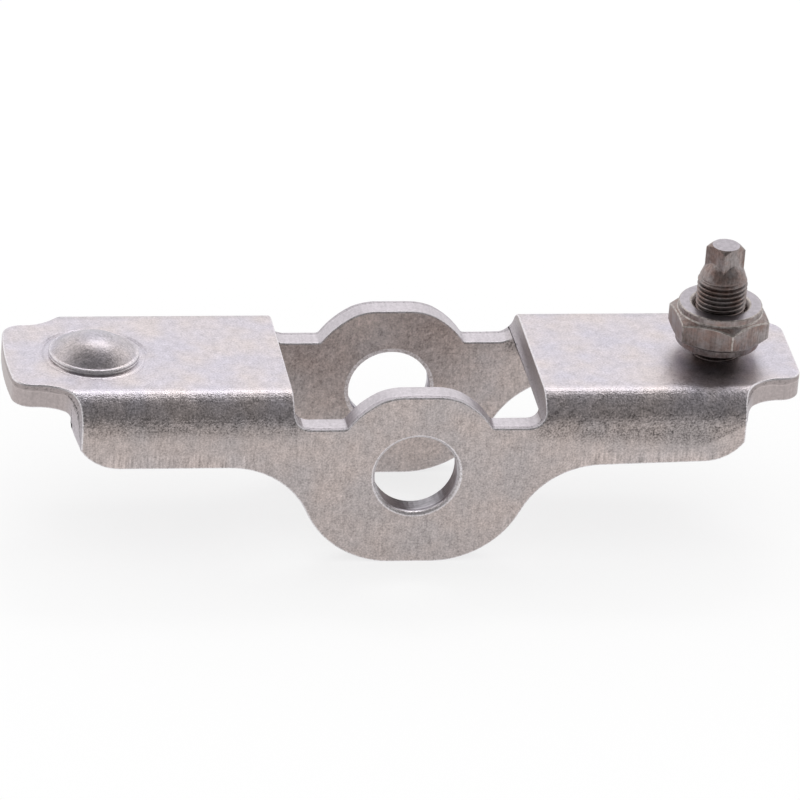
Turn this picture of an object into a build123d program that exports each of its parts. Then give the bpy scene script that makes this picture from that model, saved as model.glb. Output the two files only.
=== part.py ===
from build123d import *
import os
from math import asin, cos, radians, sqrt, tan

# Rocker arm for a pushrod engine: a channel folded from steel sheet, an adjusting screw and its lock nut.
# Millimetres. The origin is the middle of the rocker shaft's bore. X runs along the arms, with the
# pushrod cup at -X and the adjusting screw at +X, Y is the shaft's axis and Z points up.

# ---- sheet and channel ----
sheet = 4.0                 # sheet thickness, the same in web, flanges and ears
channel_width = 33.5        # over the two flanges
bend_r = 5.0                # outside radius of the two long bends
web_top = 13.25             # bore axis to the top face of the web

# ---- cup arm (-X) ----
cup_reach = 50.0            # bore axis to the pushrod cup's axis
cup_flange_past = 3.5       # flange end past the cup's axis
cup_tongue_past = 14.15     # tongue end past the cup's axis
cup_tongue_width = 20.6
cup_tongue_crown = 0.8      # how far the middle of the tongue's end stands out
cup_flange_depth = 11.65    # web top to the flange's lower edge

# ---- screw arm (+X) ----
screw_reach = 50.0          # bore axis to the screw's axis
screw_flange_past = 2.3
screw_tongue_past = 12.3
screw_tongue_width = 19.8
screw_flange_root = 12.05   # flange depth where it leaves the ear
screw_flange_tip = 10.95    # and at its end, because the lower edge rises

tongue_corner_r = 3.2
tongue_root_r = 6.5         # hollow corner between tongue and flange end
flange_corner_r = 7.8

# ---- ears and web window ----
bore_d = 13.3
bore_chamfer = 0.6          # on the outside of each ear
window_length = 40.0        # gap between the two arms' webs
window_corner_r = 2.7
hump_r = 13.85              # round of the ear above the bore
hump_centre = 0.8           # height of that round's centre above the bore axis
hump_height = 13.85         # bore axis to the flat on top of the hump
hump_root_r = 0.8
lobe_r = 15.2               # round of the ear below the bore
lobe_flat = 6.6             # length of the flat the lobe ends in
lobe_drop = 15.4            # bore axis to that flat
lobe_root_r = 14.0          # hollow sweep from the lobe to the flange edges

# ---- pushrod dome and cup ----
dome_rim_r = 7.15
dome_rim_height = 0.72      # shoulder above the web
dome_rim_round = 0.3
dome_brim = 0.55            # width of the flat shoulder round the crown's foot
dome_brim_round = 0.6       # hollow corner between shoulder and crown
dome_height = 3.2           # crown above the web
groove_r = 8.3              # outer radius of the coined ring round the dome
groove_floor_r = 8.15
groove_depth = 0.12
cup_ball_r = 6.0            # spherical socket for the pushrod's ball
cup_depth = 3.4             # into the web's underside

# ---- threaded hole ----
thread_d = 8.0
thread_clearance = 0.05     # radial, screw to hole and screw to nut
hole_lead_in = 0.6

# ---- lock nut ----
nut_across_flats = 14.4
nut_height = 6.7
nut_seat_d = 13.4           # raised round face, top and bottom
nut_seat_height = 1.15
nut_chamfer_deg = 27.5
nut_countersink_d = 9.5
nut_turn = -85.4            # direction of one corner, degrees from +X
nut_standoff = 1.95         # the nut is backed off this far above the web

# ---- adjusting screw ----
screw_length = 34.5
screw_above_nut = 10.15
thread_above_nut = 4.0
square_across_flats = 4.4
square_length = 3.85        # along its corners
square_chamfer_deg = 32.0
square_turn = -103.0        # direction of one corner, degrees from +X
neck_run = 1.0              # height over which the neck cone cuts into the square's flats
tip_d = 6.4
tip_length = 3.0
tip_crown_r = 9.0           # spherical end that bears on the valve stem
tip_neck = 0.8              # cone from thread to tip

# ---- worked out from the above ----
half_width = channel_width / 2
web_underside = web_top - sheet
notch_height = web_top - bend_r     # flats beside the ears' humps, level with the start of the bends
cup_flange_end = cup_reach + cup_flange_past
cup_tongue_end = cup_reach + cup_tongue_past
screw_flange_end = screw_reach + screw_flange_past
screw_tongue_end = screw_reach + screw_tongue_past
longest = max(cup_tongue_end, screw_tongue_end)
plan_width = channel_width + 2
root_room = min(cup_tongue_past - cup_flange_past, screw_tongue_past - screw_flange_past) - tongue_corner_r
side_room = (plan_width - max(cup_tongue_width, screw_tongue_width)) / 2
root_r = min(tongue_root_r, 0.97 * root_room, 0.97 * side_room)     # the walls beside it limit it
tallest = max(web_top, hump_height)
thread_hole_r = thread_d / 2 + thread_clearance
nut_base = web_top + nut_standoff
nut_top = nut_base + nut_height
screw_top = nut_top + screw_above_nut
screw_tip = screw_top - screw_length


def turned(points, x=0.0):
    """Solid of revolution about the vertical line at x, from (radius, height) points."""
    return Pos(x, 0, 0) * revolve(Plane.XZ * make_face(Polyline(*points, close=True)), Axis.Z)


def across(outline, half):
    """Side outline, drawn as (x, z), extruded to half on both sides of the mid-plane."""
    return extrude(Plane.XZ * outline, amount=half, both=True)


# ---- rocker body: the folded channel ----
def channel():
    """The bent sheet, full length, with flanges deep enough for the lobes."""
    depth = web_top + lobe_drop
    outer = Pos(0, web_top - depth / 2) * Rectangle(channel_width, depth)
    outer = fillet(outer.vertices().group_by(Axis.Y)[-1], bend_r)
    inner = Pos(0, web_underside - depth / 2) * Rectangle(channel_width - 2 * sheet, depth)
    inner = fillet(inner.vertices().group_by(Axis.Y)[-1], bend_r - sheet)
    return extrude(Plane.YZ * (outer - inner), amount=longest, both=True)


def blank_plan():
    """Plan of the arms: flange ends, narrower tongues and the hollow corners between them."""
    plan = Pos((screw_flange_end - cup_flange_end) / 2, 0) * Rectangle(
        screw_flange_end + cup_flange_end, plan_width)
    crown_r = (cup_tongue_width ** 2 / 4 + cup_tongue_crown ** 2) / (2 * cup_tongue_crown)
    cup_tongue = (Pos(-cup_tongue_end / 2, 0) * Rectangle(cup_tongue_end, cup_tongue_width)
                  & Pos(crown_r - cup_tongue_end, 0) * Circle(crown_r))
    screw_tongue = Pos(screw_tongue_end / 2, 0) * Rectangle(screw_tongue_end, screw_tongue_width)
    plan = plan + cup_tongue + screw_tongue
    ends = plan.vertices().group_by(Axis.X)
    plan = fillet(ends[0] + ends[-1], tongue_corner_r)
    roots = [v for v in plan.vertices()
             if abs(abs(v.Y) - cup_tongue_width / 2) < 0.01 and abs(v.X + cup_flange_end) < 0.01
             or abs(abs(v.Y) - screw_tongue_width / 2) < 0.01 and abs(v.X - screw_flange_end) < 0.01]
    return extrude(fillet(roots, root_r), amount=2 * longest, both=True)


def inner_end(flange_end, tongue_width):
    """Where a flange's inside face ends: the hollow corner carries it a little past its outside face."""
    reach = max(tongue_width / 2 + root_r - (half_width - sheet), 0)
    return flange_end + root_r - sqrt(root_r ** 2 - reach ** 2)


def past_corner(edge):
    """How much of a flange corner's radius is left where it is cut off, at the start of the bend."""
    left = max(flange_corner_r - (notch_height - edge), 0)
    return flange_corner_r - sqrt(flange_corner_r ** 2 - left ** 2)


def flank():
    """Side outline of flanges and lobes: everything above the pressed body's lower edge."""
    cup_edge = web_top - cup_flange_depth
    root_edge = web_top - screw_flange_root
    tip_edge = web_top - screw_flange_tip
    cup_end = inner_end(cup_flange_end, cup_tongue_width) + past_corner(cup_edge)
    screw_end = inner_end(screw_flange_end, screw_tongue_width) + past_corner(tip_edge)
    arms = make_face(Polyline(
        (-cup_end, 2 * tallest), (screw_end, 2 * tallest), (screw_end, tip_edge), (lobe_r, root_edge),
        (-lobe_r, cup_edge), (-cup_end, cup_edge), close=True))
    corners = [v for v in arms.vertices() if abs(v.Y - cup_edge) < 0.01 and v.X < -lobe_r - 1
               or abs(v.Y - tip_edge) < 0.01 and v.X > lobe_r + 1]
    arms = fillet(corners, flange_corner_r)
    arms += Pos(0, notch_height + tallest) * Rectangle(2 * longest, 2 * tallest)
    rise = lobe_r - lobe_drop
    lobe = (Pos(-lobe_flat / 2, rise) * Circle(lobe_r) + Pos(lobe_flat / 2, rise) * Circle(lobe_r)
            + Pos(0, rise) * Rectangle(lobe_flat, 2 * lobe_r))
    side = arms + lobe
    roots = [v for v in side.vertices() if lobe_r * 0.8 < abs(v.X) < lobe_r + lobe_flat and v.Y < web_underside / 2]
    return across(fillet(roots, lobe_root_r), half_width + 1)


def window():
    """What is punched out between the arms: the web, down to the flats beside the ears' humps."""
    height = 2 * tallest - notch_height
    hole = Pos(0, notch_height + height / 2) * Rectangle(window_length, height)
    return across(fillet(hole.vertices().group_by(Axis.Y)[0], window_corner_r), half_width + 1)


def humps():
    """The rounded tops of the two ears, in the planes of the flanges, with hollow corners at their feet."""
    foot_x = sqrt(hump_r ** 2 - (notch_height - hump_centre) ** 2)
    outline = (Pos(0, hump_centre) * Circle(hump_r)
               & Pos(0, hump_height / 2) * Rectangle(2 * hump_r, hump_height))
    outline += Pos(0, notch_height / 2) * Rectangle(2 * foot_x + 4 * hump_root_r, notch_height)
    feet = [v for v in outline.vertices()
            if abs(v.Y - notch_height) < 0.01 and abs(abs(v.X) - foot_x) < 0.01]
    outline = fillet(feet, hump_root_r)
    return across(outline, half_width) - across(outline, half_width - sheet)


def dome():
    """Shoulder and crown pushed up from the web over the pushrod cup."""
    shoulder = web_top + dome_rim_height
    crown = web_top + dome_height
    rise = dome_height - dome_rim_height
    foot_r = dome_rim_r - dome_brim
    crown_r = (foot_r ** 2 + rise ** 2) / (2 * rise)
    half_way = foot_r / 2
    over = (half_way, crown - crown_r + sqrt(crown_r ** 2 - half_way ** 2))
    middle = web_top - sheet / 2
    profile = make_face([Polyline((0, crown), (0, middle), (dome_rim_r, middle), (dome_rim_r, shoulder),
                                  (foot_r, shoulder)),
                         ThreePointArc((foot_r, shoulder), over, (0, crown))])
    rim_round = min(dome_rim_round, 0.9 * dome_brim)
    foot_room = (dome_brim - rim_round) / tan(asin(foot_r / crown_r) / 2)
    rim = profile.vertices().sort_by_distance((dome_rim_r, shoulder))[0]
    profile = fillet(rim, rim_round)
    foot = profile.vertices().sort_by_distance((foot_r, shoulder))[0]
    profile = fillet(foot, min(dome_brim_round, 0.95 * foot_room))
    return Pos(-cup_reach, 0, 0) * revolve(Plane.XZ * profile, Axis.Z)


def groove():
    """Coined ring round the dome: a sloping outer side and a flat floor."""
    return turned([(dome_rim_r - 1, web_top - groove_depth), (groove_floor_r, web_top - groove_depth),
                   (groove_r, web_top), (groove_r, tallest + 1), (dome_rim_r - 1, tallest + 1)], -cup_reach)


def thread_hole():
    """Threaded hole through the web, with a lead-in below."""
    top = web_top + 1
    return turned([(0, top), (thread_hole_r, top), (thread_hole_r, web_underside + hole_lead_in),
                   (thread_hole_r + hole_lead_in + 1, web_underside - 1), (0, web_underside - 1)], screw_reach)


def shaft_bore():
    """Bore for the rocker shaft through both ears, with its edges broken on the outside."""
    bore_r = bore_d / 2
    mouth = half_width - bore_chamfer
    outside = half_width + 1
    return Rot(90, 0, 0) * turned([
        (0, -outside), (bore_r + bore_chamfer + 1, -outside), (bore_r, -mouth),
        (bore_r, mouth), (bore_r + bore_chamfer + 1, outside), (0, outside)])


def rocker_body():
    folded = (channel() & blank_plan() & flank()) - window() + humps()
    socket = Pos(-cup_reach, 0, web_underside + cup_depth - cup_ball_r) * Sphere(cup_ball_r)
    return folded - groove() + dome() - socket - thread_hole() - shaft_bore()


# ---- lock nut ----
def lock_nut():
    corner_r = nut_across_flats / 2 / cos(radians(30))
    seat_r = nut_seat_d / 2
    slope = (corner_r - seat_r) * tan(radians(nut_chamfer_deg))
    shoulder = nut_seat_height + slope
    hexagon = Rot(0, 0, nut_turn) * extrude(RegularPolygon(corner_r, 6), amount=nut_height)
    blank = turned([(0, 0), (seat_r, 0), (seat_r, nut_seat_height), (corner_r, shoulder),
                    (corner_r, nut_height - shoulder), (seat_r, nut_height - nut_seat_height),
                    (seat_r, nut_height), (0, nut_height)])
    mouth_r = nut_countersink_d / 2
    mouth = mouth_r - thread_hole_r
    hole = turned([(0, -1), (mouth_r + 1, -1), (thread_hole_r, mouth), (thread_hole_r, nut_height - mouth),
                   (mouth_r + 1, nut_height + 1), (0, nut_height + 1)])
    return Pos(screw_reach, 0, nut_base) * ((hexagon & blank) - hole)


# ---- adjusting screw ----
def adjusting_screw():
    flat_r = square_across_flats / 2
    corner_r = flat_r * sqrt(2)
    thread_r = thread_d / 2
    tip_r = tip_d / 2
    corner_foot = screw_length - square_length
    thread_end = nut_top + thread_above_nut - screw_tip
    shoulder = tip_length + tip_neck
    sag = tip_crown_r - sqrt(tip_crown_r ** 2 - tip_r ** 2)
    over = (tip_r / 2, tip_crown_r - sqrt(tip_crown_r ** 2 - tip_r ** 2 / 4))
    body = revolve(Plane.XZ * make_face([
        ThreePointArc((0, 0), over, (tip_r, sag)),
        Polyline((tip_r, sag), (tip_r, tip_length), (thread_r, shoulder), (thread_r, thread_end),
                 (corner_r, corner_foot), (flat_r, corner_foot + neck_run),
                 (0, corner_foot + neck_run), (0, 0))]), Axis.Z)
    bar = Rot(0, 0, square_turn + 45) * extrude(
        Pos(0, 0, thread_end) * Rectangle(square_across_flats, square_across_flats),
        amount=screw_length - thread_end)
    chamfer_drop = (corner_r - flat_r) * tan(radians(square_chamfer_deg))
    point = turned([(0, thread_end - 1), (thread_r, thread_end - 1), (thread_r, screw_length - chamfer_drop
                    - (thread_r - corner_r) * tan(radians(square_chamfer_deg))),
                    (flat_r, screw_length), (0, screw_length)])
    return Pos(screw_reach, 0, screw_tip) * (body + (bar & point))


os.makedirs("parts", exist_ok=True)
for name, make in (("rocker_body", rocker_body), ("lock_nut", lock_nut), ("adjusting_screw", adjusting_screw)):
    export_step(make(), f"parts/{name}.step")
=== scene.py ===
import bpy
import bmesh
from math import atan2, ceil, copysign, cos, hypot, pi, radians, sqrt, tan
from mathutils import Matrix, Vector


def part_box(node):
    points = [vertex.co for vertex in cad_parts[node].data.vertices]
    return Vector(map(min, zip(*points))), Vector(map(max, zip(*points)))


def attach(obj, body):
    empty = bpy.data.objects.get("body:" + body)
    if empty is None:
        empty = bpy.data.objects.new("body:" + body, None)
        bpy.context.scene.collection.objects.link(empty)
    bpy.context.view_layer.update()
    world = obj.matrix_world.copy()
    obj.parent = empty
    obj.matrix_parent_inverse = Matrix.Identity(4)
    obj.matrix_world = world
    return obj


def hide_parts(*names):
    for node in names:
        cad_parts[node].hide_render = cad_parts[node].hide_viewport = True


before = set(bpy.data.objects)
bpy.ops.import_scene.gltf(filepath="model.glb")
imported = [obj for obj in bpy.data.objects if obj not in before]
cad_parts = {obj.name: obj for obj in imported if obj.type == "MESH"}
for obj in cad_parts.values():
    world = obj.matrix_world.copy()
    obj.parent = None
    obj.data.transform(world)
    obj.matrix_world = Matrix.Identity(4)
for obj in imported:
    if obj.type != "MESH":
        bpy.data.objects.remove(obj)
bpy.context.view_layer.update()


# ---------------------------------------------------------------- rocker body
# The arm itself: one blank of 4 mm low-carbon steel sheet, pierced and folded into a channel. It keeps the
# rolled steel's grey skin, and tumbling after the last press stroke has rounded its sheared edges.
mm = 0.001
near = 0.02 * mm                 # closer than this, a point of the solid counts as lying on a named surface
sheet = 4.0 * mm
half_width = 16.75 * mm
bend_r = 5.0 * mm
web_top = 13.25 * mm
bend_centre_y = half_width - bend_r
bend_centre_z = web_top - bend_r
ear_end = 17.2 * mm              # the ears' notches end at this x, where the bends begin
window_half = 20.0 * mm
cup_x = -50.0 * mm
screw_x = 50.0 * mm
bore_r = 6.65 * mm
bore_rim_r = 7.25 * mm
hump_flat = 4.64 * mm            # half of the flat on top of each ear
hump_round = 1.8 * mm            # how far its ends are rounded off along the top
dome_rim_r = 7.15 * mm
ring_groove_r = 8.3 * mm         # outer edge of the coined ring round the dome, as the solid has it
ring_floor_r = 8.15 * mm
ledge_r = 7.8 * mm               # the press left a shallow ledge inside a narrow V-shaped groove
ledge_depth = 0.07 * mm
vee_r = 8.38 * mm
vee_half = 0.26 * mm
vee_depth = 0.28 * mm
dome_reach = 8.9 * mm            # nothing inside this radius round the dome is a sheared edge
hole_reach = 6.0 * mm
tumbled_round = 0.3 * mm         # edge rounding left by tumbling
dome_wall = 0.4 * mm             # the burnished rim of the dome stands higher than this above the web
cup_cut_x = -41 * mm             # the skins are cut across here, clear of the dome and of the screw's hole
screw_cut_x = 43 * mm
window_cut_x = window_half + mm  # and here, just past both ends of the window

body_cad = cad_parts["rocker_body"]
shell = bmesh.new()
shell.from_mesh(body_cad.data)
depth_layer = shell.verts.layers.float.new("sheet_depth")
bend_layer = shell.verts.layers.float.new("round_the_bend")
rub_layer = shell.verts.layers.float.new("burnish")
bmesh.ops.remove_doubles(shell, verts=shell.verts, dist=0.002 * mm)
bmesh.ops.dissolve_limit(shell, angle_limit=radians(0.4), verts=shell.verts, edges=shell.edges)


def from_axis(point, x):
    """Distance of a point from the upright axis at x."""
    return hypot(point.x - x, point.y)


def pressed_in_web(point):
    """True round the dome and the screw's hole, where no edge is a sheared one."""
    return from_axis(point, cup_x) < dome_reach or from_axis(point, screw_x) < hole_reach


def hump_edges(x_from, x_to):
    """Edges across the sheet on top of the humps, between these distances from the bore's axis."""
    found = []
    for edge in shell.edges:
        a, b = (v.co for v in edge.verts)
        on_hump = all(x_from < abs(end.x) < x_to and end.z > web_top for end in (a, b))
        if on_hump and abs(a.y - b.y) > sheet / 2:
            found.append(edge)
    return found


facet_edges = hump_edges(hump_flat + 0.5 * mm, hump_flat + 1.5 * mm)
bmesh.ops.dissolve_edges(shell, edges=facet_edges, use_verts=True)
flat_ends = hump_edges(hump_flat - 0.1 * mm, hump_flat + 0.1 * mm)
bmesh.ops.bevel(shell, geom=flat_ends, offset=hump_round, offset_type="OFFSET", segments=6, profile=0.5,
                affect="EDGES", material=-1, clamp_overlap=False)


def move_out(vert, x, r, z):
    """Moves a vertex to this radius and height in its own direction from the upright axis at x."""
    flat = Vector((vert.co.x - x, vert.co.y, 0))
    vert.co = Vector((x, 0, z)) + flat.normalized() * r


groove_verts = []
for vert in shell.verts:
    out = from_axis(vert.co, cup_x)
    if abs(out - ring_groove_r) < near and abs(vert.co.z - web_top) < near:
        move_out(vert, cup_x, vee_r, web_top)
        groove_verts.append(vert)
    elif abs(out - ring_floor_r) < near and vert.co.z > web_top - 0.5 * mm:
        move_out(vert, cup_x, ledge_r, web_top - ledge_depth)
    elif abs(out - dome_rim_r) < near and abs(vert.co.z - web_top) < 0.2 * mm:
        vert.co.z = web_top - ledge_depth
groove_edges = [e for e in shell.edges if all(v in groove_verts for v in e.verts)]
vee = bmesh.ops.bevel(shell, geom=groove_edges, offset=vee_half, offset_type="OFFSET", segments=2,
                      profile=0.5, affect="EDGES", material=-1, clamp_overlap=False, loop_slide=False)
for vert in vee["verts"]:
    if abs(from_axis(vert.co, cup_x) - vee_r) < vee_half / 2:
        vert.co.z = web_top - vee_depth
# the long skins are cut up, so that the bevels below don't slide their corners far along one face
for x in (cup_cut_x, -window_cut_x, window_cut_x, screw_cut_x):
    bmesh.ops.bisect_plane(shell, geom=shell.verts[:] + shell.edges[:] + shell.faces[:], dist=1e-7,
                           plane_co=(x, 0, 0), plane_no=(1, 0, 0))


def at_notch_end(vert):
    """True where a notch runs tangent to the bend, on a skin that has to be one face there."""
    in_length = ear_end - 0.1 * mm < abs(vert.co.x) < window_cut_x + 0.1 * mm
    in_height = bend_centre_z - 0.01 * mm < vert.co.z < bend_centre_z + 0.24 * mm
    return in_length and in_height and abs(vert.co.y) > bend_centre_y


tangent_edges = [e for e in shell.edges
                 if e.calc_face_angle(0) < radians(30) and all(at_notch_end(v) for v in e.verts)]
bmesh.ops.dissolve_edges(shell, edges=tangent_edges, use_verts=False)
sheared_edges = []
for edge in shell.edges:
    middle = (edge.verts[0].co + edge.verts[1].co) / 2
    at_bore = hypot(middle.x, middle.z) < bore_rim_r + 0.2 * mm
    if edge.calc_face_angle(0) > radians(50) and not pressed_in_web(middle) and not at_bore:
        sheared_edges.append(edge)
rounded = bmesh.ops.bevel(shell, geom=sheared_edges, offset=tumbled_round, offset_type="OFFSET", segments=3,
                          profile=0.5, affect="EDGES", material=-1, clamp_overlap=False, loop_slide=False)
# the flat skins of flanges and ears are set exactly flat again, so that no crease shows in them
for face in shell.faces:
    for skin_y in (half_width, half_width - sheet):
        level = abs(abs(face.calc_center_median().y) - skin_y) < 0.05 * mm
        if level and abs(face.normal.y) > 0.9999 and face.calc_area() > mm ** 2:
            for vert in face.verts:
                vert.co.y = copysign(skin_y, vert.co.y)


def depth_in_sheet(point):
    """Share of the sheet's thickness below its outer face, 0 outside and 1 inside."""
    y = abs(point.y)
    if y > bend_centre_y and point.z > bend_centre_z and abs(point.x) > ear_end:
        depth = bend_r - hypot(y - bend_centre_y, point.z - bend_centre_z)
    elif y > bend_centre_y:
        depth = half_width - y
    else:
        depth = web_top - point.z
    return min(max(depth / sheet, 0.0), 1.0)


def round_the_bend(point):
    """How far round the bend a point is, from 0 on the web to 1 on the flanges and ears."""
    y = abs(point.y) - bend_centre_y
    if y > 0 and point.z > bend_centre_z and abs(point.x) > ear_end:
        return atan2(y, point.z - bend_centre_z) / radians(90)
    return 1.0 if y > 0 else 0.0


PRESSED, SHEARED, REAMED = 0, 1, 2
for face in shell.faces:
    face.smooth = True
    face.material_index = PRESSED
    centre = face.calc_center_median()
    from_bore = hypot(centre.x, centre.z)
    if from_bore < bore_r + 0.1 * mm and abs(face.normal.y) < 0.9:
        face.material_index = REAMED
    elif 0.03 < depth_in_sheet(centre) < 0.97 and from_bore > bore_rim_r and not pressed_in_web(centre):
        face.material_index = SHEARED
for vert in shell.verts:
    vert[depth_layer] = depth_in_sheet(vert.co)
    vert[bend_layer] = round_the_bend(vert.co)
    if abs(from_axis(vert.co, cup_x) - dome_rim_r) < 0.25 * mm and vert.co.z > web_top + dome_wall:
        vert[rub_layer] = 0.7
    elif hypot(vert.co.x, vert.co.z) < bore_rim_r and all(abs(f.normal.y) < 0.9 for f in vert.link_faces):
        vert[rub_layer] = 0.8
rounded_faces = set(rounded["faces"])
for vert in rounded["verts"]:
    if all(face in rounded_faces for face in vert.link_faces):
        vert[rub_layer] = 1.0

body_mesh = bpy.data.meshes.new("rocker_body_skin")
shell.to_mesh(body_mesh)
shell.free()
body = bpy.data.objects.new("rocker_arm", body_mesh)
bpy.context.scene.collection.objects.link(body)
even = body.modifiers.new("even_normals", "WEIGHTED_NORMAL")
even.keep_sharp = True
even.weight = 50


def linear(code):
    """sRGB hex code to linear RGBA."""
    parts = [int(code[i:i + 2], 16) / 255 for i in (1, 3, 5)]
    return tuple(c / 12.92 if c <= 0.04045 else ((c + 0.055) / 1.055) ** 2.4 for c in parts) + (1.0,)


def add(tree, kind, links=(), **settings):
    """Adds one node. links maps an input's name or number to a value or to another node's output."""
    made = tree.nodes.new(kind)
    for key, value in settings.items():
        setattr(made, key, value)
    for key, value in dict(links).items():
        if isinstance(value, bpy.types.NodeSocket):
            tree.links.new(value, made.inputs[key])
        else:
            made.inputs[key].default_value = value
    return made


# Tumbled cold-rolled steel: pale and faintly lilac on the web, warmer on the flanges, and darkest round the
# outside of the bends and just below them, partly the skin that the die stretched and dragged and partly
# painted shade for the dark room that the bends mirror. Its grain is 0.3 to 1.3 mm.
pressed = bpy.data.materials.new("cold_rolled_steel_tumbled")
pressed.use_nodes = True
tree = pressed.node_tree
shader = tree.nodes["Principled BSDF"]
place = add(tree, "ShaderNodeTexCoord").outputs["Object"]
where = add(tree, "ShaderNodeSeparateXYZ", {0: place})
along = add(tree, "ShaderNodeMath", {0: where.outputs["X"]}, operation="ABSOLUTE").outputs[0]
height = where.outputs["Z"]
bend = add(tree, "ShaderNodeAttribute", attribute_name="round_the_bend").outputs["Fac"]
burnish = add(tree, "ShaderNodeAttribute", attribute_name="burnish").outputs["Fac"]
cloud = add(tree, "ShaderNodeTexNoise", {"Vector": place, "Scale": 1 / (7 * mm), "Detail": 2.0}).outputs[0]
blotch = add(tree, "ShaderNodeTexNoise", {"Vector": place, "Scale": 1 / (1.3 * mm), "Detail": 3.0,
                                          "Roughness": 0.6}).outputs[0]
fleck = add(tree, "ShaderNodeTexNoise", {"Vector": place, "Scale": 1 / (0.3 * mm), "Detail": 2.0,
                                         "Roughness": 0.6}).outputs[0]
mottle = add(tree, "ShaderNodeMix", {"Factor": 0.35, 2: fleck, 3: blotch}).outputs[0]
# the dragged skin and the dark reflection painted on it reach further down towards the end of the screw arm
lower = add(tree, "ShaderNodeMapRange", {"Value": where.outputs["X"], "From Min": 0.0, "From Max": 50 * mm,
                                         "To Max": 2.2 * mm}).outputs[0]
lower = add(tree, "ShaderNodeMath", {0: lower, 1: height}, operation="ADD").outputs[0]
ragged = add(tree, "ShaderNodeMath", {0: blotch, 1: 2.4 * mm, 2: lower},
             operation="MULTIPLY_ADD").outputs[0]
away = add(tree, "ShaderNodeMapping", {0: place, 1: (-cup_x, 0, 0), 3: (1, 1, 0)}).outputs[0]
away = add(tree, "ShaderNodeVectorMath", {0: away}, operation="LENGTH").outputs["Value"]
dome = add(tree, "ShaderNodeMapRange", {"Value": away, "From Min": 7.1 * mm,
                                        "From Max": 6.2 * mm}).outputs[0]
worked = add(tree, "ShaderNodeMapRange", {"Value": bend, "From Min": 0.04, "From Max": 0.24}).outputs[0]
stretched_and_painted_dark = add(tree, "ShaderNodeMapRange", {"Value": ragged, "From Min": 7.3 * mm, "From Max": 9.8 * mm},
                interpolation_type="SMOOTHSTEP").outputs[0]
beside_ears = add(tree, "ShaderNodeMapRange", {"Value": along, "From Min": 16.4 * mm,
                                               "From Max": 20.0 * mm},
                  interpolation_type="SMOOTHSTEP").outputs[0]
stretched_and_painted_dark = add(tree, "ShaderNodeMath", {0: stretched_and_painted_dark, 1: beside_ears}, operation="MULTIPLY").outputs[0]
stretched_and_painted_dark = add(tree, "ShaderNodeMath", {0: stretched_and_painted_dark, 1: worked}, operation="MULTIPLY").outputs[0]
for sign, slope, start in ((-1, -1.0, 44.7 * mm), (1, -1.76, 37.0 * mm)):
    # the flanges' ends were struck flat again, so the dragged skin and the dark reflection painted on it
    # stop at a slanting line there
    slant = add(tree, "ShaderNodeMath", {0: height, 1: slope}, operation="MULTIPLY").outputs[0]
    slant = add(tree, "ShaderNodeMath", {0: where.outputs["X"], 1: sign, 2: slant},
                operation="MULTIPLY_ADD").outputs[0]
    edge = add(tree, "ShaderNodeMapRange", {"Value": slant, "From Min": start + 0.4 * mm,
                                            "From Max": start}).outputs[0]
    stretched_and_painted_dark = add(tree, "ShaderNodeMath", {0: stretched_and_painted_dark, 1: edge}, operation="MULTIPLY").outputs[0]
# painted shade: darker colour low on the bends, partly stretched skin and partly the dark room they mirror
stretch_dark_and_painted_reflection = add(tree, "ShaderNodeMapRange", {"Value": height, "From Min": 11.5 * mm, "From Max": 8.3 * mm,
                                              "To Max": -0.34}, interpolation_type="SMOOTHSTEP").outputs[0]
contrast = add(tree, "ShaderNodeMath", {0: worked, 1: 0.9, 2: 1.3}, operation="MULTIPLY_ADD").outputs[0]
contrast = add(tree, "ShaderNodeMath", {0: stretched_and_painted_dark, 1: 0.9, 2: contrast},
               operation="MULTIPLY_ADD").outputs[0]
contrast = add(tree, "ShaderNodeMath", {0: dome, 1: 0.6, 2: contrast}, operation="MULTIPLY_ADD").outputs[0]
speckle = add(tree, "ShaderNodeMath", {0: mottle, 1: 0.5}, operation="SUBTRACT").outputs[0]
speckle = add(tree, "ShaderNodeMath", {0: speckle, 1: contrast, 2: 1.0},
              operation="MULTIPLY_ADD").outputs[0]
# this adds the painted dark reflection below the bends to the colour
speckle = add(tree, "ShaderNodeMath", {0: stretched_and_painted_dark, 1: stretch_dark_and_painted_reflection, 2: speckle},
              operation="MULTIPLY_ADD").outputs[0]
# painted shade: the dome's colour is darkened for the dark room that its curved sides mirror
speckle = add(tree, "ShaderNodeMath", {0: dome, 1: -0.13, 2: speckle}, operation="MULTIPLY_ADD").outputs[0]
# a strip along the flanges' lower edges kept fine upright marks from the cutting punch
wave = add(tree, "ShaderNodeMath", {0: cloud, 1: 1.6 * mm, 2: height}, operation="MULTIPLY_ADD").outputs[0]
strip = add(tree, "ShaderNodeMapRange", {"Value": wave, "From Min": 4.9 * mm,
                                         "From Max": 4.6 * mm}).outputs[0]
arms = add(tree, "ShaderNodeMapRange", {"Value": along, "From Min": 23 * mm,
                                        "From Max": 27 * mm}).outputs[0]
strip = add(tree, "ShaderNodeMath", {0: strip, 1: arms}, operation="MULTIPLY").outputs[0]
tall = add(tree, "ShaderNodeMapping", {0: place, 3: (1 / (0.4 * mm), 1 / (4 * mm), 1 / (4 * mm))})
upright = add(tree, "ShaderNodeTexNoise", {"Vector": tall.outputs[0], "Scale": 1.0, "Detail": 2.0,
                                           "Roughness": 0.6}).outputs[0]
upright = add(tree, "ShaderNodeMapRange", {"Value": upright, "From Min": 0.3, "From Max": 0.7,
                                           "To Min": -0.12, "To Max": 0.24}, clamp=False).outputs[0]
strip = add(tree, "ShaderNodeMath", {0: worked, 1: 0.5, 2: strip}, operation="MULTIPLY_ADD").outputs[0]
speckle = add(tree, "ShaderNodeMath", {0: strip, 1: upright, 2: speckle},
              operation="MULTIPLY_ADD").outputs[0]
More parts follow.
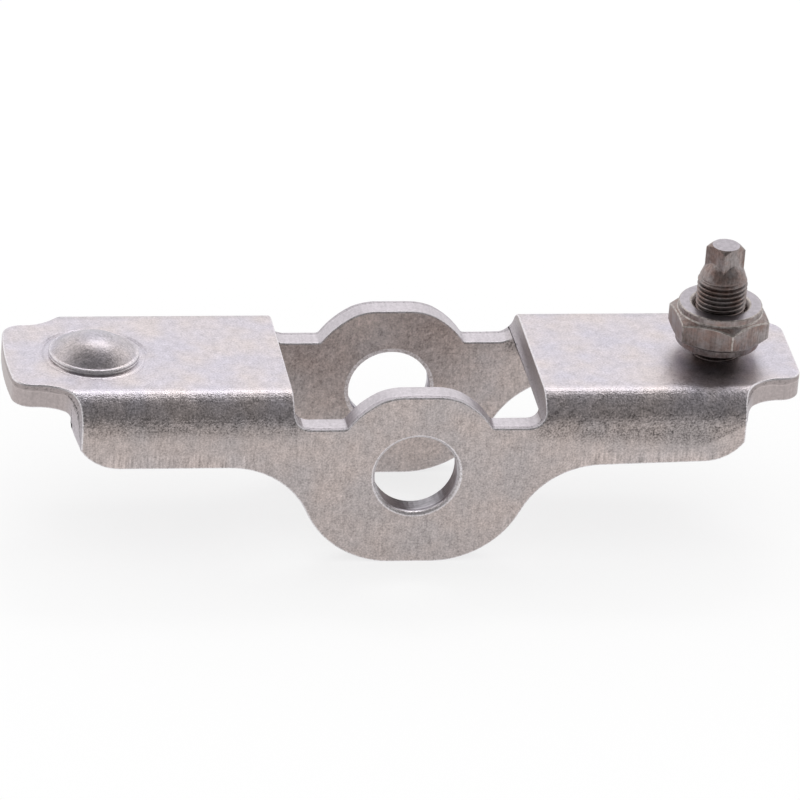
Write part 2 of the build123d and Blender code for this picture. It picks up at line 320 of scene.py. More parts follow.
tint = add(tree, "ShaderNodeMapRange", {"Value": cloud, "From Min": 0.35, "From Max": 0.65}).outputs[0]
web_colour = add(tree, "ShaderNodeMix", {0: tint, 6: linear("#c7bebf"), 7: linear("#c0bbc4")},
                 data_type="RGBA").outputs[2]
flange_colour = add(tree, "ShaderNodeMix", {0: tint, 6: linear("#bbafab"), 7: linear("#b1a9a8")},
                    data_type="RGBA").outputs[2]
colour = add(tree, "ShaderNodeMix", {0: bend, 6: web_colour, 7: flange_colour}, data_type="RGBA").outputs[2]
colour = add(tree, "ShaderNodeVectorMath", {0: colour, "Scale": speckle}, operation="SCALE").outputs[0]
shine = add(tree, "ShaderNodeMapRange", {"Value": fleck, "From Min": 0.35, "From Max": 0.6,
                                         "To Min": 0.35}).outputs[0]
# the bore's broken edge is a ring of cut steel, so it is as bright as the rubbed edges
from_bore = add(tree, "ShaderNodeMapping", {0: place, 3: (1, 0, 1)}).outputs[0]
from_bore = add(tree, "ShaderNodeVectorMath", {0: from_bore}, operation="LENGTH").outputs["Value"]
broken = add(tree, "ShaderNodeMapRange", {"Value": from_bore, "From Min": 7.32 * mm, "From Max": 7.2 * mm,
                                          "To Max": 0.9}).outputs[0]
burnish = add(tree, "ShaderNodeMath", {0: burnish, 1: broken}, operation="MAXIMUM").outputs[0]
shine = add(tree, "ShaderNodeMath", {0: shine, 1: burnish}, operation="MULTIPLY").outputs[0]
colour = add(tree, "ShaderNodeMix", {0: shine, 6: colour, 7: linear("#e9e5e8")},
             data_type="RGBA").outputs[2]
tree.links.new(colour, shader.inputs["Base Color"])
rough = add(tree, "ShaderNodeMapRange", {"Value": mottle, "From Min": 0.35, "From Max": 0.65,
                                         "To Min": 0.28, "To Max": 0.42}).outputs[0]
tree.links.new(rough, shader.inputs["Roughness"])
relief = add(tree, "ShaderNodeMath", {0: worked, 1: 0.1, 2: 0.16}, operation="MULTIPLY_ADD").outputs[0]
round_bend = add(tree, "ShaderNodeMapRange", {"Value": bend, "From Min": 1.0, "From Max": 0.72}).outputs[0]
round_bend = add(tree, "ShaderNodeMath", {0: round_bend, 1: worked}, operation="MULTIPLY").outputs[0]
relief = add(tree, "ShaderNodeMath", {0: round_bend, 1: 0.2, 2: relief},
             operation="MULTIPLY_ADD").outputs[0]
relief = add(tree, "ShaderNodeMath", {0: stretched_and_painted_dark, 1: 0.2, 2: relief},
             operation="MULTIPLY_ADD").outputs[0]
relief = add(tree, "ShaderNodeMath", {0: dome, 1: 0.12, 2: relief}, operation="MULTIPLY_ADD").outputs[0]
grain = add(tree, "ShaderNodeBump", {"Strength": relief, "Distance": 0.2 * mm, "Height": mottle})
tree.links.new(grain.outputs[0], shader.inputs["Normal"])
shader.inputs["Metallic"].default_value = 1.0
body.data.materials.append(pressed)

# Sheared edge: the punch leaves a rough torn band with pits next to the outer face, a thin bright line
# below it and then a smoother band with fine marks along the stroke, so the cut looks faintly striped.
sheared = bpy.data.materials.new("sheared_steel_edge")
sheared.use_nodes = True
tree = sheared.node_tree
shader = tree.nodes["Principled BSDF"]
place = add(tree, "ShaderNodeTexCoord").outputs["Object"]
depth = add(tree, "ShaderNodeAttribute", attribute_name="sheet_depth").outputs["Fac"]
bend = add(tree, "ShaderNodeAttribute", attribute_name="round_the_bend").outputs["Fac"]
burnish = add(tree, "ShaderNodeAttribute", attribute_name="burnish").outputs["Fac"]
fine = 1 / (0.4 * mm)
down = add(tree, "ShaderNodeMapping", {0: place, 3: (fine, fine, fine / 10)})
along_web = add(tree, "ShaderNodeTexNoise", {"Vector": down.outputs[0], "Scale": 1.0, "Detail": 3.0,
                                             "Roughness": 0.65}).outputs[0]
across = add(tree, "ShaderNodeMapping", {0: place, 3: (fine, fine / 10, fine)})
along_flange = add(tree, "ShaderNodeTexNoise", {"Vector": across.outputs[0], "Scale": 1.0, "Detail": 3.0,
                                                "Roughness": 0.65}).outputs[0]
strokes = add(tree, "ShaderNodeMix", {"Factor": bend, 2: along_web, 3: along_flange}).outputs[0]
torn_noise = add(tree, "ShaderNodeTexNoise", {"Vector": place, "Scale": 1 / (0.4 * mm), "Detail": 3.0,
                                              "Roughness": 0.65}).outputs[0]
strokes = add(tree, "ShaderNodeMix", {"Factor": 0.65, 2: strokes, 3: torn_noise}).outputs[0]
wander = add(tree, "ShaderNodeTexNoise", {"Vector": place, "Scale": 1 / (3 * mm), "Detail": 1.0}).outputs[0]
level = add(tree, "ShaderNodeMath", {0: wander, 1: -0.16, 2: depth}, operation="MULTIPLY_ADD").outputs[0]
torn = add(tree, "ShaderNodeMapRange", {"Value": level, "From Min": 0.18, "From Max": 0.13}).outputs[0]
line_dip = add(tree, "ShaderNodeMath", {0: level, 1: 0.2}, operation="SUBTRACT").outputs[0]
line_dip = add(tree, "ShaderNodeMath", {0: line_dip}, operation="ABSOLUTE").outputs[0]
bright_line = add(tree, "ShaderNodeMapRange", {"Value": line_dip, "From Min": 0.025, "From Max": 0.0,
                                               "To Max": 0.22}).outputs[0]
pits = add(tree, "ShaderNodeMapRange", {"Value": torn_noise, "From Min": 0.52, "From Max": 0.64,
                                        "To Max": 0.5}).outputs[0]
pits = add(tree, "ShaderNodeMath", {0: pits, 1: torn}, operation="MULTIPLY").outputs[0]
# on the ends of the bends the tear opened into a chain of dark pits
tear = add(tree, "ShaderNodeMath", {0: level, 1: 0.17}, operation="SUBTRACT").outputs[0]
tear = add(tree, "ShaderNodeMath", {0: tear}, operation="ABSOLUTE").outputs[0]
tear = add(tree, "ShaderNodeMapRange", {"Value": tear, "From Min": 0.08, "From Max": 0.03,
                                        "To Max": 4.0}).outputs[0]
unbent = add(tree, "ShaderNodeMath", {0: 1.0, 1: bend}, operation="SUBTRACT").outputs[0]
tear = add(tree, "ShaderNodeMath", {0: tear, 1: unbent}, operation="MULTIPLY").outputs[0]
tear = add(tree, "ShaderNodeMath", {0: tear, 1: bend}, operation="MULTIPLY").outputs[0]
opened = add(tree, "ShaderNodeMapRange", {"Value": torn_noise, "From Min": 0.44,
                                          "From Max": 0.56}).outputs[0]
pits = add(tree, "ShaderNodeMath", {0: tear, 1: opened, 2: pits}, operation="MULTIPLY_ADD").outputs[0]
pits = add(tree, "ShaderNodeMath", {0: pits, 1: 0.75}, operation="MINIMUM").outputs[0]
colour = add(tree, "ShaderNodeMix", {0: bend, 6: linear("#b3a9a8"), 7: linear("#c0babf")},
             data_type="RGBA").outputs[2]
shade = add(tree, "ShaderNodeMapRange", {"Value": strokes, "From Min": 0.25, "From Max": 0.75,
                                         "To Min": 0.74, "To Max": 1.26}, clamp=False).outputs[0]
shade = add(tree, "ShaderNodeMath", {0: shade, 1: pits}, operation="SUBTRACT").outputs[0]
shade = add(tree, "ShaderNodeMath", {0: shade, 1: bright_line}, operation="ADD").outputs[0]
colour = add(tree, "ShaderNodeVectorMath", {0: colour, "Scale": shade}, operation="SCALE").outputs[0]
shine = add(tree, "ShaderNodeMapRange", {"Value": torn_noise, "From Min": 0.35, "From Max": 0.6,
                                         "To Min": 0.35}).outputs[0]
shine = add(tree, "ShaderNodeMath", {0: shine, 1: burnish}, operation="MULTIPLY").outputs[0]
colour = add(tree, "ShaderNodeMix", {0: shine, 6: colour, 7: linear("#e4e0e3")},
             data_type="RGBA").outputs[2]
tree.links.new(colour, shader.inputs["Base Color"])
shader.inputs["Metallic"].default_value = 1.0
rough = add(tree, "ShaderNodeMapRange", {"Value": torn, "To Min": 0.38, "To Max": 0.5}).outputs[0]
tree.links.new(rough, shader.inputs["Roughness"])
relief = add(tree, "ShaderNodeMath", {0: pits, 1: -1.5, 2: strokes}, operation="MULTIPLY_ADD").outputs[0]
marks = add(tree, "ShaderNodeBump", {"Strength": 1.0, "Distance": 0.035 * mm, "Height": relief})
tree.links.new(marks.outputs[0], shader.inputs["Normal"])
body.data.materials.append(sheared)

# Reamed bore: fine tool marks run round the hole, so that it mirrors the room in streaks along the shaft.
reamed = bpy.data.materials.new("reamed_steel_bore")
reamed.use_nodes = True
tree = reamed.node_tree
shader = tree.nodes["Principled BSDF"]
place = add(tree, "ShaderNodeTexCoord").outputs["Object"]
round_hole = add(tree, "ShaderNodeMapping", {0: place, 3: (1 / (6 * mm), 1 / (0.26 * mm), 1 / (6 * mm))})
rings = add(tree, "ShaderNodeTexNoise", {"Vector": round_hole.outputs[0], "Scale": 1.0, "Detail": 3.0,
                                         "Roughness": 0.6}).outputs[0]
smear = add(tree, "ShaderNodeTexNoise", {"Vector": place, "Scale": 1 / (0.9 * mm),
                                         "Detail": 2.0}).outputs[0]
mixed = add(tree, "ShaderNodeMix", {"Factor": 0.35, 2: rings, 3: smear}).outputs[0]
shade = add(tree, "ShaderNodeMapRange", {"Value": mixed, "From Min": 0.35, "From Max": 0.65,
                                         "To Min": 0.6, "To Max": 1.35}, clamp=False).outputs[0]
colour = add(tree, "ShaderNodeVectorMath", {0: linear("#b2adb4")[:3], "Scale": shade},
             operation="SCALE").outputs[0]
tree.links.new(colour, shader.inputs["Base Color"])
shader.inputs["Metallic"].default_value = 1.0
shader.inputs["Roughness"].default_value = 0.28
marks = add(tree, "ShaderNodeBump", {"Strength": 1.0, "Distance": 0.012 * mm, "Height": mixed})
tree.links.new(marks.outputs[0], shader.inputs["Normal"])
body.data.materials.append(reamed)
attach(body, "rocker")
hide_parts("rocker_body")

# ---------------------------------------------------------------- lock nut
# Thin hexagon nut that holds the adjusting screw: turned from drawn hexagon bar and darkened by oil
# quenching, with a raised round seat on each side, chamfered corners and edges that have worn bright.
nut_across_flats = 14.4 * mm
nut_height = 6.7 * mm
nut_seat_r = 6.7 * mm
nut_seat_height = 1.15 * mm
nut_mouth_r = 4.75 * mm
nut_bore_r = 4.05 * mm
nut_edge_wear = 0.18 * mm
nut_chamfer = tan(radians(27.5))
nut_corner_deg = -85.4           # direction of one corner from +X
nut_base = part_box("lock_nut")[0].z
nut_corner_r = nut_across_flats / 2 / cos(radians(30))
columns = 72                     # steps of a full turn, shared by the nut and the screw
QUENCHED, WORN, FACED = 0, 1, 2


def turned_loop(profile, corner_deg, close):
    """A bmesh spun round the screw's axis from a profile of (radius, height), from a corner's direction."""
    bm = bmesh.new()
    line = Matrix.Rotation(radians(corner_deg), 3, "Z") @ Vector((1, 0, 0))
    axis = Vector((screw_x, 0, 0))
    points = [bm.verts.new(axis + line * r + Vector((0, 0, z))) for r, z in profile]
    for a, b in zip(points, points[1:] + points[:1] if close else points[1:]):
        bm.edges.new((a, b))
    bmesh.ops.spin(bm, geom=bm.verts[:] + bm.edges[:], cent=axis, axis=(0, 0, 1), angle=2 * pi,
                   steps=columns, use_merge=True, use_duplicate=False)
    return bm


def corner_angle(point, corner_deg, sides):
    """Angle from the nearest corner's direction, between plus and minus half a side."""
    turn = 2 * pi / sides
    angle = atan2(point.y, point.x - screw_x) - radians(corner_deg)
    return angle - turn * round(angle / turn)


def wall_radius(point, half_flats, corner_deg, sides):
    """Distance of a prism's wall from its axis in the direction of the point."""
    return half_flats / cos(pi / sides - abs(corner_angle(point, corner_deg, sides)))


def edges_over(bm, angle):
    """Edges where the surface turns by more than this angle in degrees."""
    return [e for e in bm.edges if e.is_manifold and e.calc_face_angle(0) > radians(angle)]


mouth = nut_mouth_r - nut_bore_r
far = nut_corner_r + mm          # outside the hexagon, whose walls are pulled in below
nut_bm = turned_loop([
    (nut_bore_r, mouth), (nut_mouth_r, 0), (nut_seat_r, 0), (nut_seat_r, nut_seat_height),
    (far, nut_height * 0.3), (far, nut_height * 0.7),
    (nut_seat_r, nut_height - nut_seat_height), (nut_seat_r, nut_height), (nut_mouth_r, nut_height),
    (nut_bore_r, nut_height - mouth)], nut_corner_deg, True)
for vert in nut_bm.verts:
    if from_axis(vert.co, screw_x) > far - 0.1 * mm:
        wall = wall_radius(vert.co, nut_across_flats / 2, nut_corner_deg, 6)
        drop = nut_seat_height + (wall - nut_seat_r) * nut_chamfer
        move_out(vert, screw_x, wall, drop if vert.co.z < nut_height / 2 else nut_height - drop)
bmesh.ops.translate(nut_bm, verts=nut_bm.verts, vec=(0, 0, nut_base))
bmesh.ops.recalc_face_normals(nut_bm, faces=nut_bm.faces)
worn = bmesh.ops.bevel(nut_bm, geom=edges_over(nut_bm, 40), offset=nut_edge_wear, offset_type="OFFSET",
                       segments=2, profile=0.5, affect="EDGES", material=-1, clamp_overlap=True,
                       loop_slide=True)
for face in nut_bm.faces:
    face.smooth = True
    level = abs(face.normal.z) > 0.95
    on_seat = level and from_axis(face.calc_center_median(), screw_x) > nut_mouth_r
    face.material_index = FACED if on_seat else QUENCHED
for face in worn["faces"]:
    face.material_index = WORN
nut_mesh = bpy.data.meshes.new("lock_nut_hexagon")
nut_bm.to_mesh(nut_mesh)
nut_bm.free()
nut = bpy.data.objects.new("lock_nut_hexagon", nut_mesh)
bpy.context.scene.collection.objects.link(nut)
even = nut.modifiers.new("even_normals", "WEIGHTED_NORMAL")
even.keep_sharp = True

# Steel darkened by oil quenching: a thin brown-grey oxide, thinner in patches, over fine marks along the
# bar. The thread's grooves are coloured darker towards their roots, so its crests stand out.
blackened = bpy.data.materials.new("oil_quenched_steel")
blackened.use_nodes = True
tree = blackened.node_tree
shader = tree.nodes["Principled BSDF"]
place = add(tree, "ShaderNodeTexCoord").outputs["Object"]
patch = add(tree, "ShaderNodeTexNoise", {"Vector": place, "Scale": 1 / (2.6 * mm), "Detail": 3.0,
                                         "Roughness": 0.6}).outputs[0]
speck = add(tree, "ShaderNodeTexNoise", {"Vector": place, "Scale": 1 / (0.5 * mm), "Detail": 2.0,
                                         "Roughness": 0.6}).outputs[0]
up_bar = add(tree, "ShaderNodeMapping", {0: place, 3: (1 / (0.35 * mm), 1 / (0.35 * mm), 1 / (5 * mm))})
drawn = add(tree, "ShaderNodeTexNoise", {"Vector": up_bar.outputs[0], "Scale": 1.0, "Detail": 3.0,
                                         "Roughness": 0.6}).outputs[0]
hue = add(tree, "ShaderNodeMapRange", {"Value": patch, "From Min": 0.38, "From Max": 0.62}).outputs[0]
colour = add(tree, "ShaderNodeMix", {0: hue, 6: linear("#8a7771"), 7: linear("#968e8d")},
             data_type="RGBA").outputs[2]
pattern = add(tree, "ShaderNodeMix", {"Factor": 0.5, 2: speck, 3: drawn}).outputs[0]
shade = add(tree, "ShaderNodeMapRange", {"Value": pattern, "From Min": 0.3, "From Max": 0.7, "To Min": 0.5,
                                         "To Max": 1.45}, clamp=False).outputs[0]
# the colour darkens towards the roots of the thread's grooves
groove_darkening = add(tree, "ShaderNodeAttribute", attribute_name="groove").outputs["Fac"]
groove_darkening = add(tree, "ShaderNodeMapRange", {"Value": groove_darkening, "To Min": 1.0, "To Max": 0.3}).outputs[0]
shade = add(tree, "ShaderNodeMath", {0: shade, 1: groove_darkening}, operation="MULTIPLY").outputs[0]
colour = add(tree, "ShaderNodeVectorMath", {0: colour, "Scale": shade}, operation="SCALE").outputs[0]
tree.links.new(colour, shader.inputs["Base Color"])
shader.inputs["Metallic"].default_value = 1.0
rough = add(tree, "ShaderNodeMapRange", {"Value": speck, "From Min": 0.3, "From Max": 0.7, "To Min": 0.3,
                                         "To Max": 0.46}).outputs[0]
tree.links.new(rough, shader.inputs["Roughness"])
marks = add(tree, "ShaderNodeBump", {"Strength": 1.0, "Distance": 0.02 * mm, "Height": pattern})
tree.links.new(marks.outputs[0], shader.inputs["Normal"])
nut.data.materials.append(blackened)

# Worn edge: handling and spanners have rubbed the oxide off, which leaves bright, finely scratched steel.
bare = bpy.data.materials.new("bare_worn_steel")
bare.use_nodes = True
tree = bare.node_tree
shader = tree.nodes["Principled BSDF"]
place = add(tree, "ShaderNodeTexCoord").outputs["Object"]
rub = add(tree, "ShaderNodeTexNoise", {"Vector": place, "Scale": 1 / (0.5 * mm), "Detail": 3.0,
                                       "Roughness": 0.65}).outputs[0]
rubbed = add(tree, "ShaderNodeMapRange", {"Value": rub, "From Min": 0.38, "From Max": 0.56}).outputs[0]
colour = add(tree, "ShaderNodeMix", {0: rubbed, 6: linear("#8f8681"), 7: linear("#b9b1ad")},
             data_type="RGBA").outputs[2]
tree.links.new(colour, shader.inputs["Base Color"])
shader.inputs["Metallic"].default_value = 1.0
shader.inputs["Roughness"].default_value = 0.36
marks = add(tree, "ShaderNodeBump", {"Strength": 1.0, "Distance": 0.01 * mm, "Height": rub})
tree.links.new(marks.outputs[0], shader.inputs["Normal"])
nut.data.materials.append(bare)

# Faced steel: the seats were turned after hardening, so they are pale and clean. Their rings are finer than
# 0.3 mm and are drawn at 0.3 mm to show.
faced = bpy.data.materials.new("faced_steel_seat")
faced.use_nodes = True
tree = faced.node_tree
shader = tree.nodes["Principled BSDF"]
place = add(tree, "ShaderNodeTexCoord").outputs["Object"]
flat = add(tree, "ShaderNodeMapping", {0: place, 1: (-screw_x, 0, 0), 3: (1, 1, 0)}).outputs[0]
out = add(tree, "ShaderNodeVectorMath", {0: flat}, operation="LENGTH").outputs["Value"]
out = add(tree, "ShaderNodeMath", {0: out, 1: 1 / (0.3 * mm)}, operation="MULTIPLY").outputs[0]
turned = add(tree, "ShaderNodeTexNoise", {"W": out, "Scale": 1.0, "Detail": 2.0},
             noise_dimensions="1D").outputs[0]
smear = add(tree, "ShaderNodeTexNoise", {"Vector": place, "Scale": 1 / (0.8 * mm), "Detail": 3.0,
                                         "Roughness": 0.65}).outputs[0]
mixed = add(tree, "ShaderNodeMix", {"Factor": 0.6, 2: turned, 3: smear}).outputs[0]
shade = add(tree, "ShaderNodeMapRange", {"Value": mixed, "From Min": 0.35, "From Max": 0.65, "To Min": 0.8,
                                         "To Max": 1.15}, clamp=False).outputs[0]
colour = add(tree, "ShaderNodeVectorMath", {0: linear("#a9a3a9")[:3], "Scale": shade},
             operation="SCALE").outputs[0]
tree.links.new(colour, shader.inputs["Base Color"])
shader.inputs["Metallic"].default_value = 1.0
shader.inputs["Roughness"].default_value = 0.34
marks = add(tree, "ShaderNodeBump", {"Strength": 1.0, "Distance": 0.012 * mm, "Height": mixed})
tree.links.new(marks.outputs[0], shader.inputs["Normal"])
nut.data.materials.append(faced)
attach(nut, "nut")
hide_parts("lock_nut")

# ---------------------------------------------------------------- adjusting screw
# Hardened M8 fine stud screw: rolled right-hand thread, plain rounded tip below and a milled square on top
# for the key. The thread runs out on the cone under the square.
pitch = 0.8 * mm
thread_crest_r = 4.0 * mm
thread_root_r = thread_crest_r - 0.613 * pitch
square_half = 2.2 * mm
square_corner_r = square_half * sqrt(2)
square_deg = -103.0              # direction of one of the square's corners from +X
square_chamfer = tan(radians(32.0))
screw_edge_wear = 0.13 * mm
tip_r = 3.2 * mm
tip_crown_r = 9.0 * mm
screw_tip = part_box("adjusting_screw")[0].z
screw_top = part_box("adjusting_screw")[1].z
tip_shoulder = screw_tip + 3.0 * mm
thread_start = tip_shoulder + 0.8 * mm
thread_end = nut_base + nut_height + 4.0 * mm
square_foot = screw_top - 3.85 * mm
neck_top = square_foot + 1.0 * mm


def envelope(z):
    """Radius of the plain blank that the thread is rolled on, which limits its crests at both ends."""
    if z < thread_start:
        share = max(0.0, (z - tip_shoulder) / (thread_start - tip_shoulder))
        return tip_r + (thread_crest_r - tip_r) * share
    share = max(0.0, (z - thread_end) / (square_foot - thread_end))
    return thread_crest_r + (square_corner_r - thread_crest_r) * share


crest_height = 22.1 * mm         # a crest's height on the side that the square's corner faces
# the thread's section, as shares of the pitch and of the depth
tooth = [(0.0, 0.0), (0.125, 0.0), (0.2083, 0.333), (0.2917, 0.667), (0.375, 0.93), (0.4375, 1.0),
         (0.5, 1.0), (0.5625, 0.93), (0.6458, 0.667), (0.729, 0.333), (0.8125, 0.0), (1.0, 0.0)]
crest_middle = 0.46875           # where the section has the middle of its crest, as a share of the pitch
turns_below = ceil((crest_height - tip_shoulder) / pitch) + 1
turns = turns_below + ceil((square_foot - crest_height) / pitch) + 1
first_root = crest_height - (turns_below + crest_middle) * pitch
screw_bm = bmesh.new()
groove_layer = screw_bm.verts.layers.float.new("groove")
line = Matrix.Rotation(radians(square_deg), 3, "Z") @ Vector((1, 0, 0))
axis = Vector((screw_x, 0, 0))
points = []
for z, h in tooth:
    r = thread_root_r + (thread_crest_r - thread_root_r) * h
    points.append(screw_bm.verts.new(axis + line * r + Vector((0, 0, first_root + pitch * z))))
for a, b in zip(points, points[1:]):
    screw_bm.edges.new((a, b))
bmesh.ops.spin(screw_bm, geom=screw_bm.verts[:] + screw_bm.edges[:], cent=axis, axis=(0, 0, 1),
               dvec=(0, 0, pitch / columns), angle=2 * pi, steps=columns, use_merge=False,
               use_duplicate=False)
one_turn = screw_bm.verts[:] + screw_bm.edges[:] + screw_bm.faces[:]
for turn in range(1, turns):
    copied = bmesh.ops.duplicate(screw_bm, geom=one_turn)["geom"]
    bmesh.ops.translate(screw_bm, verts=[g for g in copied if isinstance(g, bmesh.types.BMVert)],
                        vec=(0, 0, pitch * turn))
bmesh.ops.remove_doubles(screw_bm, verts=screw_bm.verts, dist=0.002 * mm)
lower_cut = tip_shoulder + 0.15 * mm
upper_cut = thread_end + (square_foot - thread_end) * (thread_crest_r - thread_root_r) / (
    thread_crest_r - square_corner_r) + 0.1 * mm
for z, below in ((lower_cut, True), (thread_start, None), (thread_end, None), (upper_cut, False)):
    whole = screw_bm.verts[:] + screw_bm.edges[:] + screw_bm.faces[:]
    bmesh.ops.bisect_plane(screw_bm, geom=whole, dist=1e-9, plane_co=(0, 0, z), plane_no=(0, 0, 1),
                           clear_inner=below is True, clear_outer=below is False)
for vert in screw_bm.verts:
    if from_axis(vert.co, screw_x) > envelope(vert.co.z):
        move_out(vert, screw_x, envelope(vert.co.z), vert.co.z)


def border_at(bm, z):
    """Open edges at this height."""
    return [e for e in bm.edges if e.is_boundary and all(abs(v.co.z - z) < 0.002 * mm for v in e.verts)]


tip_rings = [(tip_r, tip_shoulder)]
crown_centre = screw_tip + tip_crown_r
for share in (1.0, 0.96, 0.85, 0.7, 0.5, 0.25):
    r = tip_r * share
    tip_rings.append((r, crown_centre - sqrt(tip_crown_r ** 2 - r ** 2)))
rim = border_at(screw_bm, lower_cut)
for r, z in tip_rings:
    grown = bmesh.ops.extrude_edge_only(screw_bm, edges=rim)["geom"]
    for vert in (g for g in grown if isinstance(g, bmesh.types.BMVert)):
        move_out(vert, screw_x, r, z)
    rim = [g for g in grown if isinstance(g, bmesh.types.BMEdge) and g.is_boundary]
bmesh.ops.contextual_create(screw_bm, geom=rim)

head_bm = turned_loop([(square_corner_r, square_foot), (square_half, neck_top),
                       (square_half, screw_top - mm), (square_half * 0.999, screw_top)], square_deg, False)
for vert in head_bm.verts:
    wall = wall_radius(vert.co, square_half, square_deg, 4)
    if abs(vert.co.z - neck_top) < 0.01 * mm:
        fall = (square_corner_r - wall) / (square_corner_r - square_half)
        move_out(vert, screw_x, wall, square_foot + (neck_top - square_foot) * fall)
    elif abs(vert.co.z - screw_top + mm) < 0.01 * mm:
        move_out(vert, screw_x, wall, screw_top - (wall - square_half) * square_chamfer)
bmesh.ops.remove_doubles(head_bm, verts=head_bm.verts, dist=0.005 * mm)
head_mesh = bpy.data.meshes.new("square_head")
head_bm.to_mesh(head_mesh)
head_bm.free()
screw_bm.from_mesh(head_mesh)
bpy.data.meshes.remove(head_mesh)
bmesh.ops.contextual_create(screw_bm, geom=border_at(screw_bm, screw_top))
bmesh.ops.bridge_loops(screw_bm, edges=border_at(screw_bm, upper_cut) + border_at(screw_bm, square_foot))
bmesh.ops.recalc_face_normals(screw_bm, faces=screw_bm.faces)
keen = [e for e in edges_over(screw_bm, 28) if min(v.co.z for v in e.verts) > square_foot - 0.05 * mm]
worn = bmesh.ops.bevel(screw_bm, geom=keen, offset=screw_edge_wear, offset_type="OFFSET", segments=2,
                       profile=0.5, affect="EDGES", material=-1, clamp_overlap=True, loop_slide=True)
for vert in screw_bm.verts:
    if thread_start < vert.co.z < thread_end:
        into = (thread_crest_r - from_axis(vert.co, screw_x)) / (thread_crest_r - thread_root_r)
        vert[groove_layer] = min(max(into, 0.0), 1.0)
for face in screw_bm.faces:
    face.smooth = True
    if face.calc_center_median().z > screw_top - 0.01 * mm:
        face.material_index = FACED
for face in worn["faces"]:
    face.material_index = WORN
screw_mesh = bpy.data.meshes.new("threaded_screw")
screw_bm.to_mesh(screw_mesh)
screw_bm.free()
screw = bpy.data.objects.new("threaded_screw", screw_mesh)
bpy.context.scene.collection.objects.link(screw)
even = screw.modifiers.new("even_normals", "WEIGHTED_NORMAL")
even.keep_sharp = True
screw.data.materials.append(blackened)
screw.data.materials.append(bare)
screw.data.materials.append(faced)
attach(screw, "screw")
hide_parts("adjusting_screw")

# ---------------------------------------------------------------- studio
# A white table, a soft box behind and above the part, and a room that is dark overhead and in front.
table_z = -15.42 * mm            # just below the ears' flat bottoms, so that the two don't share a plane
floor_bm = bmesh.new()
bmesh.ops.create_grid(floor_bm, x_segments=1, y_segments=1, size=3.0)
bmesh.ops.translate(floor_bm, verts=floor_bm.verts, vec=(0, 0, table_z))
floor_mesh = bpy.data.meshes.new("table_top")
floor_bm.to_mesh(floor_mesh)
floor_bm.free()
floor = bpy.data.objects.new("table_top", floor_mesh)
bpy.context.scene.collection.objects.link(floor)
white = bpy.data.materials.new("white_table")
white.use_nodes = True
tree = white.node_tree
tree.nodes.clear()
# the camera and the steel see a table that glows evenly, and all other light meets plain white paint
path = add(tree, "ShaderNodeLightPath")
seen = add(tree, "ShaderNodeMath", {0: path.outputs["Is Camera Ray"], 1: path.outputs["Is Glossy Ray"]},
           operation="MAXIMUM")
seen = add(tree, "ShaderNodeMath", {0: seen.outputs[0], 1: path.outputs["Is Transmission Ray"]},
           operation="MAXIMUM")
paint = add(tree, "ShaderNodeBsdfDiffuse", {"Color": linear("#f2f2f2")})
thin = add(tree, "ShaderNodeBsdfDiffuse", {"Color": linear("#8c8c8c")})
glow = add(tree, "ShaderNodeEmission", {"Color": (1, 1, 1, 1), "Strength": 0.72})
lit = add(tree, "ShaderNodeAddShader", {0: thin.outputs[0], 1: glow.outputs[0]})
mixed = add(tree, "ShaderNodeMixShader", {0: seen.outputs[0], 1: paint.outputs[0], 2: lit.outputs[0]})
add(tree, "ShaderNodeOutputMaterial", {0: mixed.outputs[0]})
floor.data.materials.append(white)

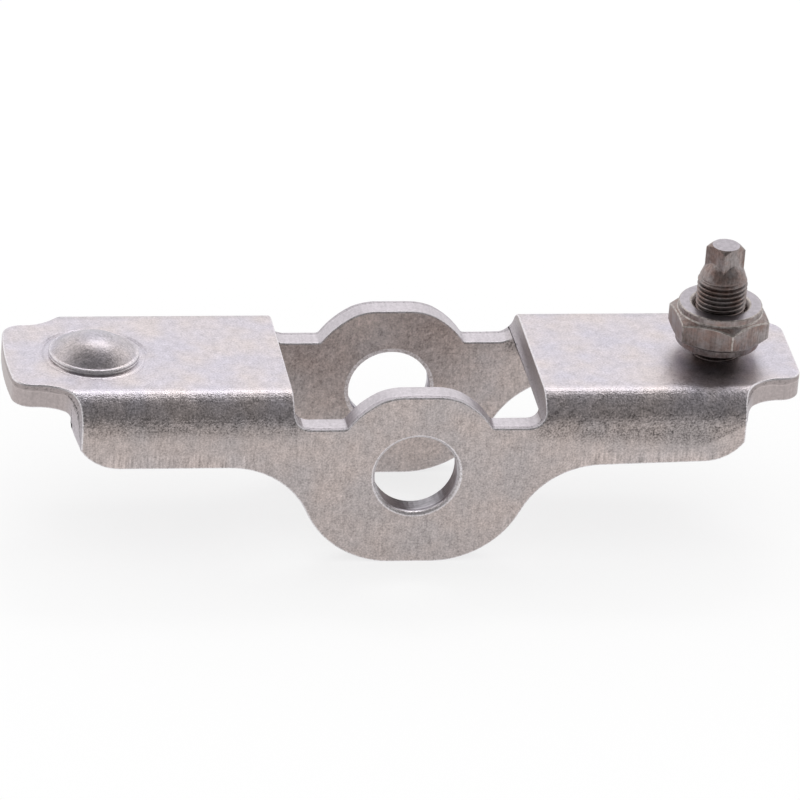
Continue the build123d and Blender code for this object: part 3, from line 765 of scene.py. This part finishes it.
world = bpy.data.worlds.new("studio")
bpy.context.scene.world = world
world.use_nodes = True
tree = world.node_tree
tree.nodes.clear()
way = add(tree, "ShaderNodeTexCoord")
split = add(tree, "ShaderNodeSeparateXYZ", {0: way.outputs["Generated"]})
ceiling = add(tree, "ShaderNodeMapRange", {"Value": split.outputs["Z"], "From Min": 0.72, "From Max": 0.88},
              interpolation_type="SMOOTHSTEP")
front = add(tree, "ShaderNodeMapRange", {"Value": split.outputs["Y"], "From Min": 0.15, "From Max": -0.45},
            interpolation_type="SMOOTHSTEP")
dark = add(tree, "ShaderNodeMath", {0: ceiling.outputs[0], 1: front.outputs[0]}, operation="MAXIMUM")
level = add(tree, "ShaderNodeMapRange", {"Value": dark.outputs[0], "To Min": 1.15, "To Max": 0.28})
# only the steel mirrors the dark parts: the camera and the diffuse light meet an even white room
path = add(tree, "ShaderNodeLightPath")
plain = add(tree, "ShaderNodeMath", {0: path.outputs["Is Camera Ray"], 1: path.outputs["Is Diffuse Ray"]},
            operation="MAXIMUM")
strength = add(tree, "ShaderNodeMix", {"Factor": plain.outputs[0], 2: level.outputs[0], 3: 1.0})
ground = add(tree, "ShaderNodeBackground", {"Color": (1, 1, 1, 1), "Strength": strength.outputs[0]})
add(tree, "ShaderNodeOutputWorld", {0: ground.outputs[0]})


def soft_box(name, centre, aim, width, height, radiance):
    """A rectangular soft box facing aim, whose face has this radiance."""
    lamp = bpy.data.lights.new(name, "AREA")
    lamp.shape = "RECTANGLE"
    lamp.size, lamp.size_y = width, height
    lamp.energy = radiance * pi * width * height
    box = bpy.data.objects.new(name, lamp)
    box.location = centre
    box.rotation_euler = (Vector(aim) - Vector(centre)).to_track_quat("-Z", "Y").to_euler()
    box.visible_camera = False
    bpy.context.scene.collection.objects.link(box)
    return box


soft_box("soft_box_behind", (0.17, 0.72, 0.96), (0, 0, 0), 0.56, 0.2, 4.6)

# the camera stands 1.24 m in front of the part, a little to its left, and looks 28 degrees down
camera_data = bpy.data.cameras.new("camera")
camera_data.lens = 349.25
camera_data.sensor_width = 36.0
camera_data.clip_start = 0.05
camera_data.clip_end = 20.0
camera = bpy.data.objects.new("camera", camera_data)
right = Vector((0.98606945, -0.15029207, 0.07126949))
up = Vector((0.00755389, 0.46849216, 0.88343536))
forward = up.cross(right).normalized()
stand = Vector((-205.5546825, -1074.46323059, 576.23244015)) * mm
camera.matrix_world = Matrix.Translation(stand) @ Matrix((right, up, -forward)).transposed().to_4x4()
bpy.context.scene.collection.objects.link(camera)
bpy.context.scene.camera = camera
bpy.context.scene.view_settings.view_transform = "Standard"
